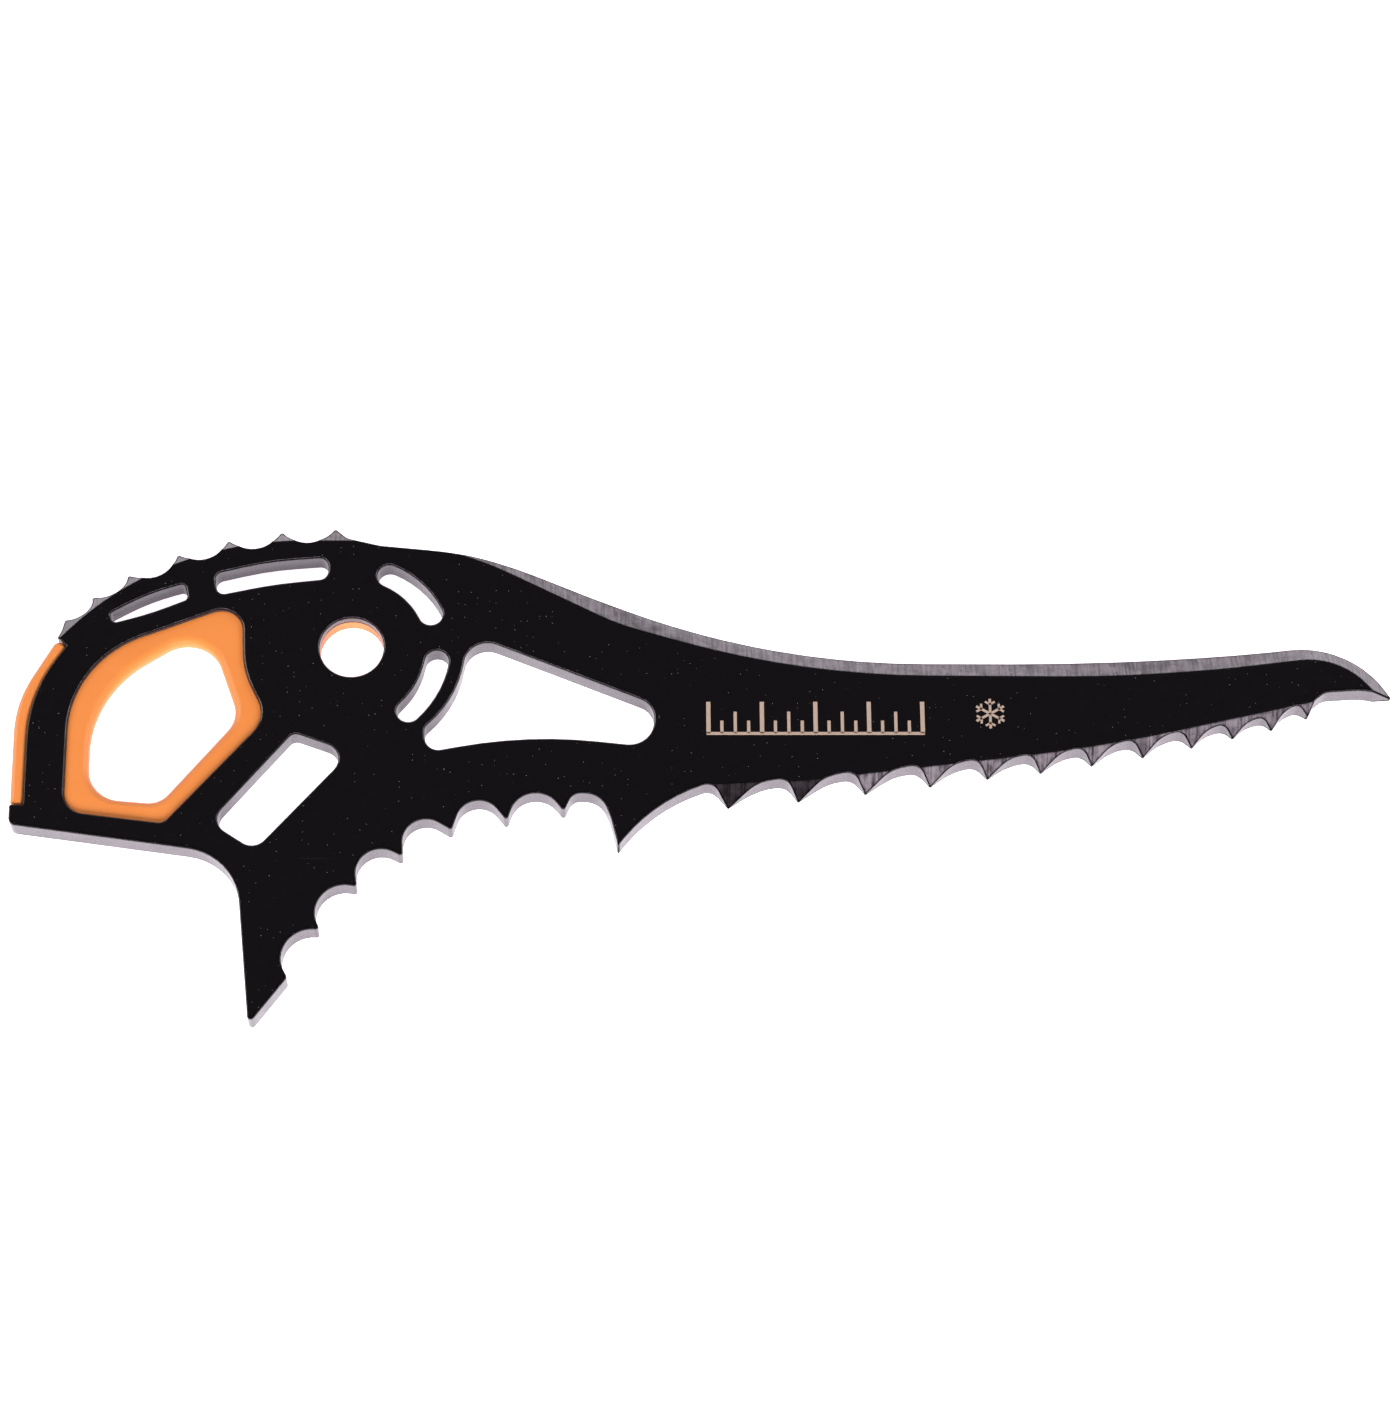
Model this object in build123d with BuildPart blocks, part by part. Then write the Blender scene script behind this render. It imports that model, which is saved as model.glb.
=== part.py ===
from build123d import *

import os
from math import cos, hypot, radians, tan

# Head plate of an ice axe: one steel blade with pick, crown teeth and spike, plus three plastic inserts.
# Millimetres. The plate lies on its back face at z = 0. The origin is on the axis of the bolt hole, +X runs
# to the tip of the pick, +Y to the toothed crown, +Z is the plate's normal.

os.makedirs("parts", exist_ok=True)

THICK = 5.0  # plate thickness
MID = THICK / 2  # height of the middle plane, where the ground edges are sharp
HOLE_EDGE = 0.43  # rounding round the openings
EDGE = 0.3  # rounding of the outline where it is left at full thickness
BOLT_R = 6.0  # clamping bolt hole
BUSH_R = 8.5  # counterbore for the plastic bush behind the bolt hole
BUSH_DEEP = 2.8  # depth of that counterbore from the back face
SLOT_W = 4.5  # width of the two curved slots round the bolt hole
RIM_SINK = 0.8  # the band that lines the finger hole sits this far below each face
RIM_ROUND = 1.5  # rounding of the band's inner side
RIM_EDGE = 0.2  # rounding of the band where it meets the steel
STRIP_SINK = 0.4  # the strip sits this far below each face
STRIP_ROUND = 0.9  # rounding of the strip's outer side
KEY_DEEP = 0.8  # tongue of the plastic inserts, let into the steel
KEY_HIGH = 1.6  # height of that tongue
TOUCH = 0.1  # an edge nearer to the steel than this lies against it and stays sharp
CROWN_FLANK = radians(58)  # slope of a crown tooth's flank against the line joining two tips
CROWN_DEEP = 0.34  # depth of the hollows between crown teeth, as a share of their pitch
CROWN_TIP = 0.35  # radius of a crown tooth's tip
GRIP_FLANK = radians(62)  # slope of a grip bump's flank against the line joining two bumps
GRIP_TIP = 0.5  # radius of a grip bump's tip
PICK_TIP = 0.2  # radius of a pick tooth's tip
STEEP = (0.875, 0.322, 0.2)  # corner of the steep flank: along the pitch, up and radius, in pitches
GENTLE = (0.455, 0.31, 0.8)  # corner of the gentle flank, likewise


def outline(corners):
    """Closed line through (x, y, radius) corners; a radius of 0 leaves the corner sharp."""
    sharp = [Vector(x, y) for x, y, _ in corners]
    ends = []
    for i, (_, _, radius) in enumerate(corners):
        here = sharp[i]
        back = (sharp[i - 1] - here).normalized()
        ahead = (sharp[(i + 1) % len(corners)] - here).normalized()
        half = radians(180 - back.get_angle(ahead)) / 2
        reach = radius * tan(half)
        middle = here + (back + ahead).normalized() * radius * (1 / cos(half) - 1) if radius else here
        ends.append((here + back * reach, middle, here + ahead * reach))
    for i, (start, middle, end) in enumerate(ends):
        Line(ends[i - 1][2], start)
        if corners[i][2]:
            ThreePointArc(start, middle, end)


def plan(corners, mode=Mode.ADD):
    """Flat face inside an outline."""
    with BuildLine(mode=Mode.PRIVATE) as edge:
        outline(corners)
    make_face(edge.edges(), mode=mode)


def gullet(a, b, deep, flank):
    """Corner between two tooth tips: its round bottom lies `deep` of the pitch from the line a-b."""
    pitch = hypot(b[0] - a[0], b[1] - a[1])
    drop = tan(flank) / 2
    x = (a[0] + b[0]) / 2 + (b[1] - a[1]) * drop
    y = (a[1] + b[1]) / 2 - (b[0] - a[0]) * drop
    return (x, y, pitch * (drop - deep) / (1 / cos(flank) - 1))


def pick_gullet(a, b):
    """Steep short flank beside tooth a, long gentle flank to tooth b, as two corners."""
    across = Vector(a[0] - b[0], a[1] - b[1])
    up = Vector(-across.Y, across.X)
    steep = Vector(*b) + across * STEEP[0] + up * STEEP[1]
    gentle = Vector(*b) + across * GENTLE[0] + up * GENTLE[1]
    return [
        (steep.X, steep.Y, STEEP[2] * across.length),
        (gentle.X, gentle.Y, GENTLE[2] * across.length),
    ]


# Tips of the seven teeth of the crown, from the strip towards the pick.
crown_tips = [
    (-54.1, 6.5), (-49.3, 11.3), (-42.7, 15.8), (-33.4, 20.05), (-23.95, 22.95), (-13.85, 24.75),
    (-3.7, 25.45),
]
crown = [(-55.1, 2.05, 0.2), (-54.5, 3.7, 4)]
for a, b in zip(crown_tips, crown_tips[1:]):
    crown += [(*a, CROWN_TIP), gullet(a, b, CROWN_DEEP, CROWN_FLANK)]
crown += [(*crown_tips[-1], CROWN_TIP), (-1.2, 22.5, 3)]

# Upper edge of the pick, over the nose to the sharp tip, then the hollow under the beak.
pick_top = [
    (5, 21.0, 8), (25.2, 19.0, 80), (78.5, -2.45, 150), (144, -2.6, 500), (170, -0.45, 200),
    (188.2, 1.6, 18.2),
]
beak = [(195.4, -9.8, 0.2), (189.5, -8.75, 12), (182.6, -9.2, 3)]

# Teeth under the pick, last one first. Their pitch falls steadily towards the tip.
pick_tips = [
    (179.3, -13.55), (172.35, -16.2), (165.0, -17.8), (157.2, -19.7), (147.95, -21.65), (138.35, -23.3),
    (128.7, -24.8), (118.75, -25.95), (108.0, -27.55), (95.9, -29.0), (83.4, -30.55), (70.35, -31.8),
]
pick_teeth = [(180.6, -10.8, 0.6)]
for a, b in zip(pick_tips, pick_tips[1:]):
    pick_teeth += [(*a, PICK_TIP), *pick_gullet(a, b)]
pick_teeth += [(*pick_tips[-1], PICK_TIP), (67.5, -27.2, 2.4)]

# The big hooked tooth, then the grip bumps down to the spike: x, y and depth of the hollow that follows.
big_tooth = [
    (56.9, -31.0, 32), (49.9, -39.9, 0.15), (48.5, -34.1, 12), (46.7, -29.55, 4.4), (41.5, -29.45, 2.3),
]
grip_tips = [
    (39.9, -33.1, 0.43), (29.4, -35.0, 0.48), (19.2, -36.8, 0.47), (10.3, -42.0, 0.43), (2.0, -47.9, 0.375),
    (-4.6, -56.3, 0.36), (-10.3, -65.5, 0),
]
grip = []
for a, b in zip(grip_tips, grip_tips[1:]):
    grip += [(a[0], a[1], GRIP_TIP), gullet(a, b, a[2], GRIP_FLANK)]

# Spike, the hollow behind it and the foot that closes the strip's recess.
spike = [(-10.3, -65.5, 0.8), (-17.25, -74.75, 0.7), (-20.45, -41.65, 11.5), (-62.5, -35.6, 1.5)]
recess_foot = (-59.95, -31.75, 0.25)
recess_bend = (-59.95, -9.8, 28)
recess_head = (-53.3, 0.3, 0.3)
back_edge = [(-62.5, -31.75, 0.3), recess_foot, recess_bend, recess_head]

# Plan of the envelope that the grinding leaves: along the sharp edge in the middle plane, and on the faces.
sharp_line = [
    (-75, -90, 0), (-75, 0.8, 0), (-59.4, 0.8, 0), (-45.9, 15.3, 52), (-19.3, 25.6, 80), (17.2, 25.6, 60),
    (44.6, 11.45, 60), (78.5, -2.15, 150), (144, -2.3, 500), (170, -0.15, 200), (188.35, 1.91, 18.5),
    (198.7, -14.2, 0), (181, -14.2, 5), (147, -22.6, 150), (90, -30.2, 80), (65.6, -32.4, 0), (65.6, -90, 0),
]
face_line = [
    (-75, -90, 0), (-75, 0.8, 0), (-55.5, 0.8, 0), (-44.0, 13.12, 55), (-20.6, 21.95, 63), (16.4, 21.9, 60),
    (50, 4.68, 45), (84.7, -5.75, 165), (143, -6.1, 250), (163, -4.6, 200), (185.9, -1.75, 13.8),
    (193.2, -10.95, 0), (181, -10.95, 5), (140, -20.3, 300), (84.5, -27.05, 60), (65.6, -27.85, 0), (65.6, -90, 0),
]

# Openings of the blade.
finger_hole = [
    (-20.65, 9.6, 4.2), (-20.1, -4.8, 18), (-15.4, -14.2, 6), (-34.0, -35.35, 2.2), (-52.55, -32.95, 4.2),
    (-52.55, -2.66, 20.6),
]
finger_opening = [
    (-27.3, 4.7, 6.8), (-20.8, -13.8, 5.7), (-35.0, -30.9, 4.5), (-48.3, -29.75, 6.4), (-48.3, -8.85, 21.5)
]
upper_slot = [
    (-45.6, 7.0, 1.0), (-38.4, 11.15, 40), (-31.6, 13.2, 0.9), (-31.0, 9.9, 0.9), (-38, 6.95, 60),
    (-44.9, 5.0, 0.9),
]
long_slot = [
    (-26.1, 15.2, 1.5), (-16, 17.7, 60), (-4.6, 18.6, 1.8), (-4.8, 14.1, 1.8), (-15, 13.0, 80),
    (-25.5, 10.7, 1.5),
]
window = [
    (21.95, 2.75, 4.4), (56.8, -11.6, 4.0), (56.4, -20.2, 4.6), (33.2, -17.6, 85), (14.0, -21.3, 2.6),
    (13.9, -16.15, 1.6), (20.03, -10.5, 21.3),
]
lanyard_slot = [(-10.5, -17.3, 1.6), (0.3, -21.2, 3.2), (-17.05, -40.7, 3.0), (-25.45, -35.1, 3.0)]
curved_slots = [
    ((14.73, 6.87), (11.32, 11.66), (6.8, 14.76)),
    ((16.0, -2.85), (14.3, -8.1), (10.85, -12.9)),
]
strip_plan = [
    (-62.45, -31.75, 1.0), (-62.45, -10.9, 23), (-55.15, 2.05, 1.2), recess_head, recess_bend, recess_foot
]

with BuildSketch() as hole_face:
    plan(finger_hole)
with BuildSketch() as strip_face:
    plan(strip_plan)
with BuildSketch() as opening_face:
    plan(finger_opening)
with BuildSketch() as hole_key_face:
    offset(hole_face.sketch, amount=KEY_DEEP)
with BuildSketch() as strip_key_face:
    offset(strip_face.sketch, amount=KEY_DEEP)

# Shape left by the grinding: two ramps, back to back, from the middle plane to the faces.
with BuildPart() as envelope:
    for height in (0, THICK):
        with BuildSketch(Plane.XY.offset(MID)):
            plan(sharp_line)
        with BuildSketch(Plane.XY.offset(height)):
            plan(face_line)
        loft(ruled=True)

# Plate cut to outline, edges rounded, then ground to a wedge along the crown, top edge and pick teeth.
with BuildPart() as plate:
    with BuildSketch():
        plan(crown + pick_top + beak + pick_teeth + big_tooth + grip + spike + back_edge)
        for hole in (finger_hole, upper_slot, long_slot, window, lanyard_slot):
            plan(hole, Mode.SUBTRACT)
        Circle(BOLT_R, mode=Mode.SUBTRACT)
        for start, middle, end in curved_slots:
            with BuildLine(mode=Mode.PRIVATE) as centre:
                ThreePointArc(start, middle, end)
            SlotArc(centre.wires()[0], SLOT_W, mode=Mode.SUBTRACT)
    extrude(amount=THICK)
    flats = plate.faces().filter_by(Axis.Z)
    fillet([edge for flat in flats for edge in flat.inner_wires().edges()], HOLE_EDGE)
    flats = plate.faces().filter_by(Axis.Z)
    fillet([edge for flat in flats for edge in flat.outer_wire().edges()], EDGE)
    add(envelope.part, mode=Mode.INTERSECT)

# Tongues of the two plastic inserts: the grooves they fill are cut out of the plate.
with BuildPart() as keys:
    with BuildSketch(Plane.XY.offset(MID - KEY_HIGH / 2)):
        add(hole_key_face.sketch)
        add(hole_face.sketch, mode=Mode.SUBTRACT)
    extrude(amount=KEY_HIGH)
with BuildPart() as strip_key:
    with BuildSketch(Plane.XY.offset(MID - KEY_HIGH / 2)):
        add(strip_key_face.sketch)
        add(strip_face.sketch, mode=Mode.SUBTRACT)
    extrude(amount=KEY_HIGH)
    add(plate.part, mode=Mode.INTERSECT)

with BuildPart() as blade:
    add(plate.part)
    add(keys.part, mode=Mode.SUBTRACT)
    add(strip_key.part, mode=Mode.SUBTRACT)
    Cylinder(BUSH_R, BUSH_DEEP, align=(Align.CENTER, Align.CENTER, Align.MIN), mode=Mode.SUBTRACT)
blade.part.label = "blade"
export_step(blade.part, "parts/blade.step")

# Plastic band that lines the finger hole, its inner side rounded like a bead.
with BuildPart() as hole_liner:
    with BuildSketch(Plane.XY.offset(RIM_SINK)):
        add(hole_face.sketch)
        add(opening_face.sketch, mode=Mode.SUBTRACT)
    extrude(amount=THICK - 2 * RIM_SINK)
    rims = hole_liner.faces().filter_by(Axis.Z)
    fillet([edge for rim in rims for edge in rim.inner_wires().edges()], RIM_ROUND)
    rims = hole_liner.faces().filter_by(Axis.Z)
    fillet([edge for rim in rims for edge in rim.outer_wire().edges()], RIM_EDGE)
    add(keys.part)
hole_liner.part.label = "hole_liner"
export_step(hole_liner.part, "parts/hole_liner.step")

# Plastic strip let into the back edge.
with BuildPart() as back_strip:
    with BuildSketch(Plane.XY.offset(STRIP_SINK)):
        add(strip_face.sketch)
    extrude(amount=THICK - 2 * STRIP_SINK)
    rims = back_strip.faces().filter_by(Axis.Z).edges()
    fillet([edge for edge in rims if plate.part.distance_to(Vertex(edge @ 0.5)) > TOUCH], STRIP_ROUND)
    add(strip_key.part)
back_strip.part.label = "back_strip"
export_step(back_strip.part, "parts/back_strip.step")

# Plastic bush pressed into the counterbore behind the bolt hole.
with BuildPart() as bolt_bush:
    Cylinder(BUSH_R, BUSH_DEEP, align=(Align.CENTER, Align.CENTER, Align.MIN))
    chamfer(bolt_bush.faces().sort_by(Axis.Z)[0].edges(), EDGE)
    Cylinder(BOLT_R, BUSH_DEEP, align=(Align.CENTER, Align.CENTER, Align.MIN), mode=Mode.SUBTRACT)
bolt_bush.part.label = "bolt_bush"
export_step(bolt_bush.part, "parts/bolt_bush.step")
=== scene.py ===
from math import cos, pi, sin

import bpy
from mathutils import Matrix, Vector


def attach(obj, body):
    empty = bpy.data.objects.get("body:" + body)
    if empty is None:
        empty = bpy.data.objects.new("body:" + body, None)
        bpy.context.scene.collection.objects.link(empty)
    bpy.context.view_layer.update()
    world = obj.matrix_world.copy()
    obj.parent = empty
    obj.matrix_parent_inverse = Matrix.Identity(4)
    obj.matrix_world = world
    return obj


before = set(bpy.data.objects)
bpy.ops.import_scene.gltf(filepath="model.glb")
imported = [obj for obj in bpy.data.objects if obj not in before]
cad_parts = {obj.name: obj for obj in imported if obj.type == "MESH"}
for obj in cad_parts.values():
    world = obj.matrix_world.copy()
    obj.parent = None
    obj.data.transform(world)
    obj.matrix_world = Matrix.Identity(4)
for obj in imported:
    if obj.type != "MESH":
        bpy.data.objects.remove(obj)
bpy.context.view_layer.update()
bpy.ops.object.select_all(action="DESELECT")

# ---------------------------------------------------------------- studio
# The plate lies on a white acrylic sheet lit a little from below, in a white cove with a dark ceiling. The
# ceiling is what the glossy black faces mirror, the sheet and the cove what the ground edges and walls mirror.
# The front softbox only lights, and is kept out of mirror reflections, or it would white out the flat faces.
scene = bpy.context.scene
scene.view_settings.view_transform = "Standard"

camera_data = bpy.data.cameras.new("camera")
camera_data.lens = 118.286
camera_data.sensor_width = 36
camera_data.sensor_fit = "HORIZONTAL"
camera_data.clip_end = 20
camera = bpy.data.objects.new("camera", camera_data)
scene.collection.objects.link(camera)
scene.camera = camera
camera_right = Vector((0.99976, -0.00848, 0.02001))
camera_up = Vector((0, 0.9208, 0.39))
camera_back = Vector((-0.02173, -0.38995, 0.92058))
camera_turn = Matrix((camera_right, camera_up, camera_back)).transposed().to_4x4()
camera.matrix_world = Matrix.Translation((0.04658, -0.34623, 0.79635)) @ camera_turn

cove = bpy.data.worlds.new("cove")
scene.world = cove
cove.use_nodes = True
cove_nodes = cove.node_tree.nodes
cove_links = cove.node_tree.links
cove_place = cove_nodes.new("ShaderNodeTexCoord")
cove_height = cove_nodes.new("ShaderNodeSeparateXYZ")
cove_ramp = cove_nodes.new("ShaderNodeValToRGB")
cove_ramp.color_ramp.elements[0].position = 0.1
cove_ramp.color_ramp.elements[0].color = (1.1, 1.0, 1.1, 1)
cove_ramp.color_ramp.elements[1].position = 0.3
cove_ramp.color_ramp.elements[1].color = (0.06, 0.05, 0.06, 1)
cove_links.new(cove_place.outputs["Generated"], cove_height.inputs[0])
cove_links.new(cove_height.outputs["Z"], cove_ramp.inputs["Fac"])
cove_links.new(cove_ramp.outputs["Color"], cove_nodes["Background"].inputs["Color"])

FLOOR_SIDE = 12
FLOOR_DROP = 0.0002
PLATE_MIDDLE = Vector((0.06, -0.02, 0))

bpy.ops.mesh.primitive_plane_add(size=FLOOR_SIDE, location=(0, 0, -FLOOR_DROP))
floor = bpy.context.object
floor.name = "floor"
bpy.ops.object.transform_apply(location=True, rotation=True, scale=True)
acrylic = bpy.data.materials.new("white_acrylic_sheet")
acrylic.use_nodes = True
acrylic_shader = acrylic.node_tree.nodes["Principled BSDF"]
acrylic_shader.inputs["Base Color"].default_value = (0.86, 0.85, 0.86, 1)
acrylic_shader.inputs["Roughness"].default_value = 0.7
acrylic_shader.inputs["Emission Color"].default_value = (1, 0.9, 1, 1)
acrylic_shader.inputs["Emission Strength"].default_value = 1.12
floor.data.materials.append(acrylic)

for name, place, size, power in (
    ("softbox_left", (-0.9, 0.4, 0.7), (0.6, 0.5), 7),
    ("softbox_right", (1.0, 0.4, 0.7), (0.6, 0.5), 6),
    ("softbox_front", (0.05, -0.97, 0.52), (1.6, 0.4), 26),
    ("softbox_back", (0.05, 1.1, 0.45), (1.6, 0.4), 4),
):
    lamp_data = bpy.data.lights.new(name, "AREA")
    lamp_data.shape = "RECTANGLE"
    lamp_data.size, lamp_data.size_y = size
    lamp_data.energy = power
    lamp = bpy.data.objects.new(name, lamp_data)
    lamp.location = place
    lamp.rotation_euler = (PLATE_MIDDLE - Vector(place)).to_track_quat("-Z", "Y").to_euler()
    scene.collection.objects.link(lamp)
    lamp.visible_glossy = name != "softbox_front"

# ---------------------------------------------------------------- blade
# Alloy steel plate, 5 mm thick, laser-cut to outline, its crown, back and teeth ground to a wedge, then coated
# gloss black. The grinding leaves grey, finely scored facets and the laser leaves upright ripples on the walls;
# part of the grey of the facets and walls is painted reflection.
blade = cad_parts["blade"]
coat = bpy.data.materials.new("black_coated_steel")
coat.use_nodes = True
nodes = coat.node_tree.nodes
links = coat.node_tree.links
steel = nodes["Principled BSDF"]


def node(kind, **settings):
    """A new node of the material being made, with its settings and the constants on its sockets."""
    made = nodes.new("ShaderNode" + kind)
    for key, value in settings.items():
        if key[0] == "_":
            made.inputs[int(key[1:])].default_value = value
        else:
            setattr(made, key, value)
    return made


def join(*chain):
    """Links an output to an input, given as node, socket, node, socket."""
    links.new(chain[0].outputs[chain[1]], chain[2].inputs[chain[3]])


def ramp(source, socket, low, high, start=0.0, end=1.0):
    """A value that goes from start at low to end at high, smoothly."""
    made = node("MapRange", interpolation_type="SMOOTHSTEP", _1=low, _2=high, _3=start, _4=end)
    join(source, socket, made, 0)
    return made


place = node("TexCoord")
upright = node("SeparateXYZ")
join(place, "Normal", upright, 0)
tilt = node("Math", operation="ABSOLUTE")
join(upright, "Z", tilt, 0)
facet_low = ramp(tilt, 0, 0.745, 0.775)
facet_high = ramp(tilt, 0, 0.865, 0.885, 1.0, 0.0)
facet = node("Math", operation="MULTIPLY")
join(facet_low, 0, facet, 0)
join(facet_high, 0, facet, 1)
wall = ramp(tilt, 0, 0.03, 0.1, 1.0, 0.0)

# rounded: the normal with every sharp edge softened. The edge mask is 1 along the sharp edges, where a near-black
# line of painted shade is laid
rounded = node("Bevel", samples=4, _0=0.00022)
softened = node("Bevel", samples=8, _0=0.0007)
shape = node("NewGeometry")
lean = node("VectorMath", operation="DOT_PRODUCT")
join(softened, 0, lean, 0)
join(shape, "Normal", lean, 1)
edge_painted_shade = ramp(lean, "Value", 0.975, 0.998, 1.0, 0.0)

# dust that has settled on the faces
dust_cells = node("TexVoronoi", voronoi_dimensions="2D", _2=850.0)
join(place, "Object", dust_cells, 0)
dust_grain = ramp(dust_cells, "Distance", 0.02, 0.06, 1.0, 0.0)
dust_pick = node("SeparateColor")
join(dust_cells, "Color", dust_pick, 0)
dust_some = ramp(dust_pick, 0, 0.86, 1.02)
dust = node("Math", operation="MULTIPLY")
join(dust_grain, 0, dust, 0)
join(dust_some, 0, dust, 1)

# fine handling scratches, long and thin
scratch_turn = node("Mapping", _2=(0, 0, 0.5), _3=(25, 1400, 1))
join(place, "Object", scratch_turn, 0)
scratch_noise = node("TexNoise", _2=1.0, _3=2.0)
join(scratch_turn, 0, scratch_noise, 0)
scratch = ramp(scratch_noise, 0, 0.73, 0.8)

# grinding marks, which run across each ground facet
score_stretch = node("Mapping", _3=(2600, 130, 130))
join(place, "Object", score_stretch, 0)
score = node("TexNoise", _2=1.0, _3=3.0)
join(score_stretch, 0, score, 0)
mottle = node("TexNoise", _2=420.0, _3=4.0)
join(place, "Object", mottle, 0)
ripple_stretch = node("Mapping", _3=(2400, 2400, 90))
join(place, "Object", ripple_stretch, 0)
ripple = node("TexNoise", _2=1.0, _3=2.0)
join(ripple_stretch, 0, ripple, 0)

# colour: black faces with dust, grey facets, dark walls; their grey is partly painted reflection, and painted
# shade darkens two teeth and the sharp edges
face_tone = node("Mix", data_type="RGBA")
face_tone.inputs[6].default_value = (0.0035, 0.003, 0.0035, 1)
face_tone.inputs[7].default_value = (0.4, 0.37, 0.36, 1)
join(dust, 0, face_tone, 0)
# painted reflection in part: the lilac grey of the facets stands in for light mirrored from the lit sheet, over
# the grain of the grinding
facet_tone_with_painted_reflection = node("Mix", data_type="RGBA")
facet_tone_with_painted_reflection.inputs[6].default_value = (0.03, 0.025, 0.029, 1)
facet_tone_with_painted_reflection.inputs[7].default_value = (0.18, 0.152, 0.175, 1)
facet_mix = node("Math", operation="MULTIPLY_ADD", _1=0.6, _2=0.0)
join(score, 0, facet_mix, 0)
facet_sum = node("Math", operation="MULTIPLY_ADD", _1=0.4)
join(mottle, 0, facet_sum, 0)
join(facet_mix, 0, facet_sum, 2)
facet_grain = ramp(facet_sum, 0, 0.35, 0.65)
# the two teeth next to the hooked one are the darkest: painted shade halves their grey and makes them dull
along = node("SeparateXYZ")
join(place, "Object", along, 0)
painted_shade_end_x = ramp(along, "X", 0.09, 0.094)
painted_shade_end_y = ramp(along, "Y", -0.02, -0.016)
painted_shade_free = node("Math", operation="MAXIMUM")
join(painted_shade_end_x, 0, painted_shade_free, 0)
join(painted_shade_end_y, 0, painted_shade_free, 1)
painted_shade_factor = node("Math", operation="MULTIPLY_ADD", _1=0.5, _2=0.5)
join(painted_shade_free, 0, painted_shade_factor, 0)
facet_grain_and_painted_shade = node("Math", operation="MULTIPLY")
join(facet_grain, 0, facet_grain_and_painted_shade, 0)
join(painted_shade_factor, 0, facet_grain_and_painted_shade, 1)
join(facet_grain_and_painted_shade, 0, facet_tone_with_painted_reflection, 0)
# painted reflection in part: the lilac grey of the walls stands in for light mirrored from the lit sheet, with the
# laser ripples
wall_tone_with_painted_reflection = node("Mix", data_type="RGBA")
wall_tone_with_painted_reflection.inputs[6].default_value = (0.062, 0.054, 0.062, 1)
wall_tone_with_painted_reflection.inputs[7].default_value = (0.092, 0.08, 0.092, 1)
join(ripple, 0, wall_tone_with_painted_reflection, 0)
tone_a = node("Mix", data_type="RGBA")
join(facet, 0, tone_a, 0)
join(face_tone, 2, tone_a, 6)
join(facet_tone_with_painted_reflection, 2, tone_a, 7)
tone = node("Mix", data_type="RGBA")
join(wall, 0, tone, 0)
join(tone_a, 2, tone, 6)
join(wall_tone_with_painted_reflection, 2, tone, 7)
# painted shade: a near-black line along the sharp edges
edge_painted_shade_tone = node("Mix", data_type="RGBA")
edge_painted_shade_tone.inputs[7].default_value = (0.002, 0.0018, 0.002, 1)
join(edge_painted_shade, 0, edge_painted_shade_tone, 0)
join(tone, 2, edge_painted_shade_tone, 6)
join(edge_painted_shade_tone, 2, steel, "Base Color")

# roughness
face_rough = ramp(mottle, 0, 0.3, 0.7, 0.12, 0.2)
scratch_rough = node("Math", operation="MULTIPLY_ADD", _1=0.25)
join(scratch, 0, scratch_rough, 0)
join(face_rough, 0, scratch_rough, 2)
ground = node("Math", operation="MAXIMUM")
join(facet, 0, ground, 0)
join(wall, 0, ground, 1)
ground_rough = node("Math", operation="MULTIPLY_ADD", _1=0.12)
join(ground, 0, ground_rough, 0)
join(scratch_rough, 0, ground_rough, 2)
edge_painted_shade_rough = node("Math", operation="MULTIPLY", _1=1.0)
join(edge_painted_shade, 0, edge_painted_shade_rough, 0)
rough = node("Math", operation="MAXIMUM")
join(ground_rough, 0, rough, 0)
join(edge_painted_shade_rough, 0, rough, 1)
join(rough, 0, steel, "Roughness")

# along the edges and on those two teeth, painted shade: the colour is made dark and metallic, so it mirrors almost
# nothing
painted_shade_teeth = node("Math", operation="SUBTRACT", _0=1.0)
join(painted_shade_free, 0, painted_shade_teeth, 1)
painted_shade_facet = node("Math", operation="MULTIPLY")
join(facet, 0, painted_shade_facet, 0)
join(painted_shade_teeth, 0, painted_shade_facet, 1)
painted_shade_dull = node("Math", operation="MULTIPLY", _1=0.8)
join(painted_shade_facet, 0, painted_shade_dull, 0)
painted_shade_metallic = node("Math", operation="MAXIMUM")
join(painted_shade_dull, 0, painted_shade_metallic, 0)
join(edge_painted_shade, 0, painted_shade_metallic, 1)
join(painted_shade_metallic, 0, steel, "Metallic")

# relief: scored facets, rippled walls, a faint skin on the faces
facet_relief = node("Math", operation="MULTIPLY")
join(facet, 0, facet_relief, 0)
join(score, 0, facet_relief, 1)
wall_relief = node("Math", operation="MULTIPLY", _1=0.3)
join(wall, 0, wall_relief, 0)
relief = node("Math", operation="MULTIPLY_ADD")
join(wall_relief, 0, relief, 0)
join(ripple, 0, relief, 1)
join(facet_relief, 0, relief, 2)
skin = node("Math", operation="MULTIPLY_ADD", _1=0.06)
join(mottle, 0, skin, 0)
join(relief, 0, skin, 2)
bump = node("Bump", _0=0.5, _1=0.00004)
join(skin, 0, bump, "Height")
join(rounded, 0, bump, "Normal")
join(bump, 0, steel, "Normal")
blade.data.materials.clear()
blade.data.materials.append(coat)

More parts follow.
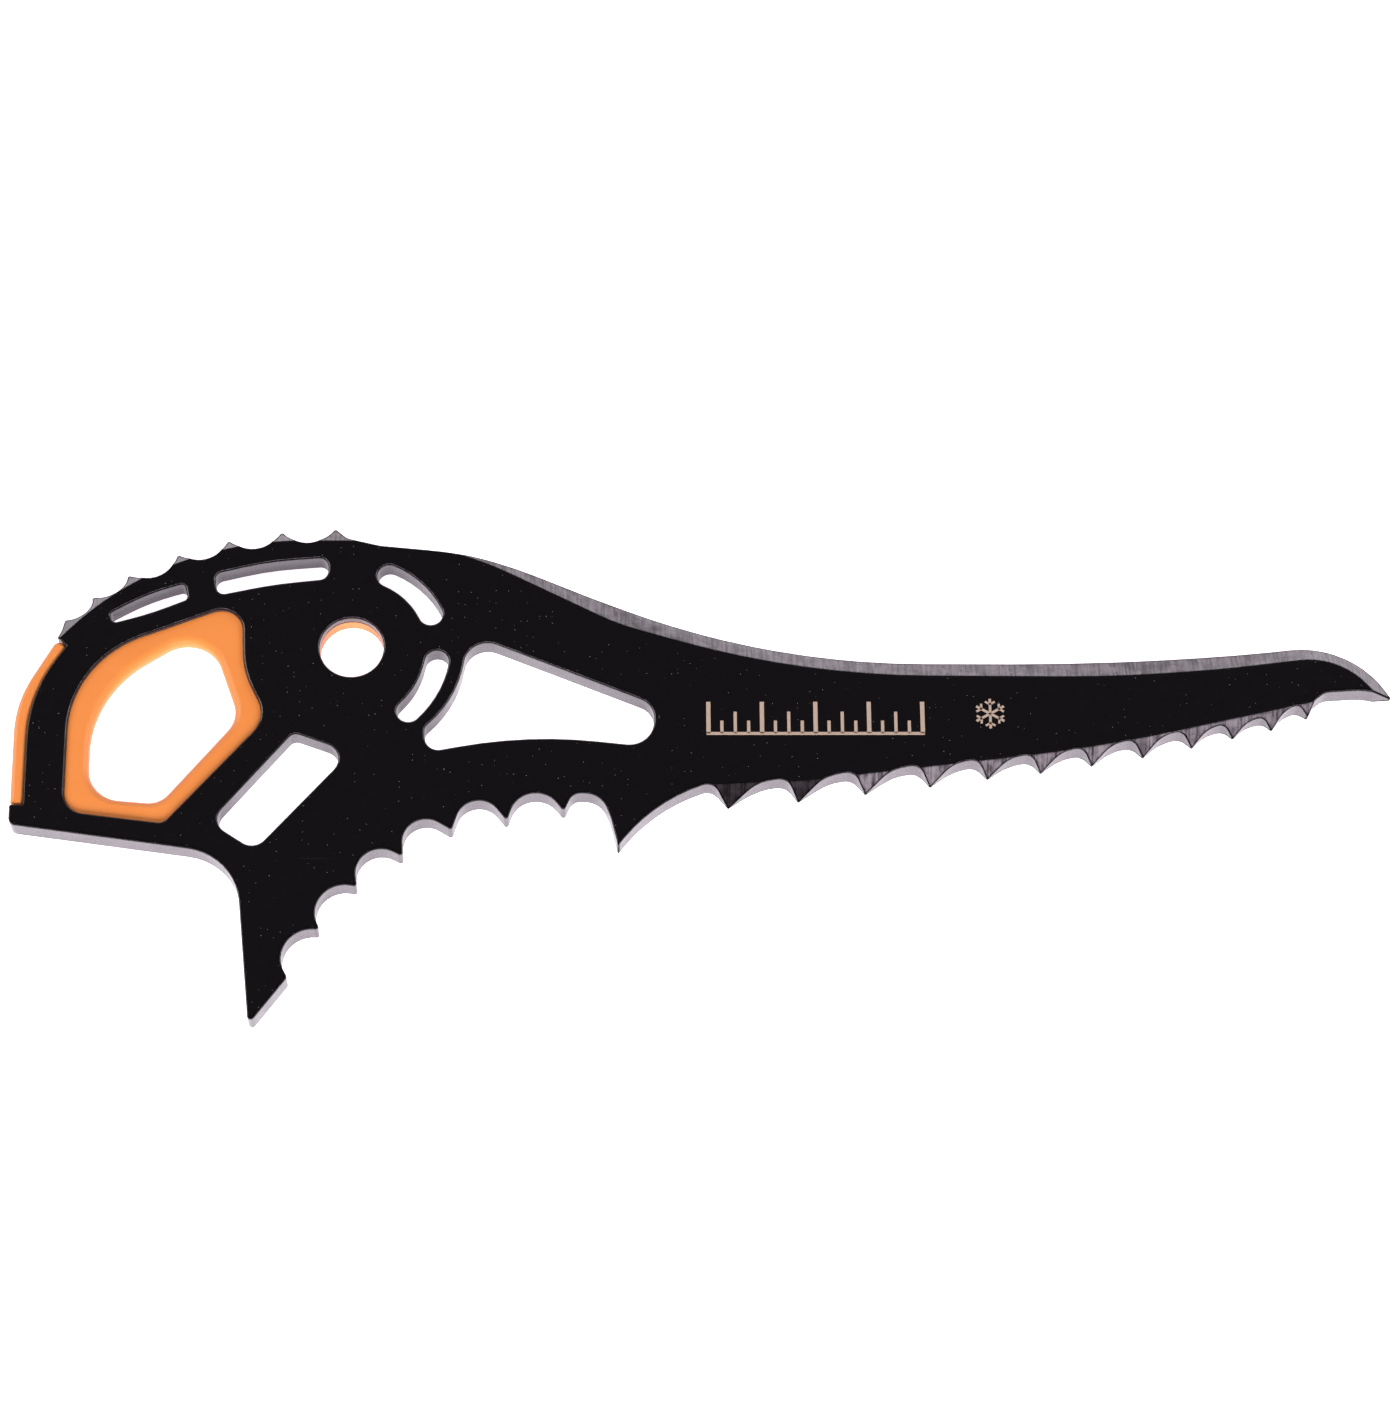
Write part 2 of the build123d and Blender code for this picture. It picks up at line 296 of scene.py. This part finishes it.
# ---------------------------------------------------------------- laser marks
# Marks burnt through the black coating on the front face, down to a pale oxide: a plain depth scale, 40 mm long
# with a line every 2.5 mm, and an ice crystal with six arms. Both stand about a hundredth of a millimetre proud.
MARK_LOW = 0.00499
MARK_HIGH = 0.005012
MARK_THICK = MARK_HIGH - MARK_LOW
SCALE_START = 0.0668
SCALE_FOOT = -0.0176
SCALE_STEP = 0.0025
SCALE_LINES = 17
LINE_WIDE = 0.0008
LINE_FINE = 0.0006
LINE_TALL = (0.0064, 0.0026, 0.0044, 0.0026)
CRYSTAL_AT = Vector((0.1195, -0.0136))
ARM_LONG = 0.0028
ARM_WIDE = 0.0005
TWIG_LONG = 0.0011
TWIG_WIDE = 0.00042

oxide = bpy.data.materials.new("laser_burnt_oxide")
oxide.use_nodes = True
nodes = oxide.node_tree.nodes
links = oxide.node_tree.links
burnt = nodes["Principled BSDF"]
place = node("TexCoord")
burn_noise = node("TexNoise", _2=2600.0, _3=3.0)
join(place, "Object", burn_noise, 0)
burn_tone = node("Mix", data_type="RGBA")
burn_tone.inputs[6].default_value = (0.31, 0.22, 0.17, 1)
burn_tone.inputs[7].default_value = (0.46, 0.345, 0.28, 1)
join(burn_noise, 0, burn_tone, 0)
join(burn_tone, 2, burnt, "Base Color")
burn_rough = ramp(burn_noise, 0, 0.3, 0.7, 0.5, 0.7)
join(burn_rough, 0, burnt, "Roughness")
bump = node("Bump", _0=0.4, _1=0.00001)
join(burn_noise, 0, bump, "Height")
join(bump, 0, burnt, "Normal")


def bar(length, width, middle, turn=0.0):
    """A thin bar with rounded corners, turned from the X axis, its middle at the given place on the front face."""
    bpy.ops.mesh.primitive_cube_add(size=1, location=(*middle, MARK_LOW + MARK_THICK / 2))
    made = bpy.context.object
    made.scale = (length, width, MARK_THICK)
    made.rotation_euler = (0, 0, turn)
    bpy.ops.object.transform_apply(location=True, rotation=True, scale=True)
    bpy.ops.object.mode_set(mode="EDIT")
    bpy.ops.mesh.select_all(action="SELECT")
    bpy.ops.mesh.subdivide(number_cuts=1)
    bpy.ops.object.mode_set(mode="OBJECT")
    soft = made.modifiers.new("soft_corners", "BEVEL")
    soft.width = min(width, length) * 0.2
    soft.segments = 2
    soft.limit_method = "ANGLE"
    soft.affect = "EDGES"
    bpy.ops.object.modifier_apply(modifier=soft.name)
    made.select_set(False)
    return made


def fuse(parts, name):
    """Joins bars into one named piece that rides on the blade."""
    bpy.ops.object.select_all(action="DESELECT")
    for part in parts:
        part.select_set(True)
    bpy.context.view_layer.objects.active = parts[0]
    bpy.ops.object.join()
    piece = bpy.context.object
    piece.name = name
    piece.data.materials.clear()
    piece.data.materials.append(oxide)
    piece.select_set(False)
    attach(piece, "root")


scale_bars = [bar(0.0407, LINE_FINE, (SCALE_START + 0.02, SCALE_FOOT))]
for i in range(SCALE_LINES):
    tall = LINE_TALL[i % 4]
    wide = LINE_WIDE if i % 4 == 0 else LINE_FINE
    scale_bars.append(bar(wide, tall, (SCALE_START + i * SCALE_STEP, SCALE_FOOT + tall / 2)))
fuse(scale_bars, "depth_scale")

crystal_bars = []
for i in range(6):
    turn = pi / 2 + i * pi / 3
    arm = Vector((cos(turn), sin(turn)))
    crystal_bars.append(bar(ARM_LONG, ARM_WIDE, CRYSTAL_AT + arm * 0.0016, turn))
    for side in (-1, 1):
        lean = turn + side * pi / 3
        twig = Vector((cos(lean), sin(lean)))
        crystal_bars.append(bar(TWIG_LONG, TWIG_WIDE, CRYSTAL_AT + arm * 0.0019 + twig * 0.0005, lean))
fuse(crystal_bars, "ice_mark")

# ---------------------------------------------------------------- plastic inserts
# Orange nylon, moulded: the band round the finger hole, the strip in the back edge and the bush behind the
# bolt hole. Satin skin with the fine sparked texture of the mould.
plastic = bpy.data.materials.new("orange_moulded_nylon")
plastic.use_nodes = True
nodes = plastic.node_tree.nodes
links = plastic.node_tree.links
nylon = nodes["Principled BSDF"]
place = node("TexCoord")
cloud = node("TexNoise", _2=160.0, _3=3.0)
join(place, "Object", cloud, 0)
grain = node("TexNoise", _2=3500.0, _3=2.0)
join(place, "Object", grain, 0)
nylon_tone = node("Mix", data_type="RGBA")
nylon_tone.inputs[6].default_value = (0.66, 0.196, 0.04, 1)
nylon_tone.inputs[7].default_value = (0.72, 0.23, 0.053, 1)
join(cloud, 0, nylon_tone, 0)
join(nylon_tone, 2, nylon, "Base Color")
nylon_rough = ramp(grain, 0, 0.3, 0.7, 0.36, 0.5)
join(nylon_rough, 0, nylon, "Roughness")
bump = node("Bump", _0=0.35, _1=0.00003)
join(grain, 0, bump, "Height")
join(bump, 0, nylon, "Normal")
for insert in ("hole_liner", "back_strip", "bolt_bush"):
    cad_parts[insert].data.materials.clear()
    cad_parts[insert].data.materials.append(plastic)
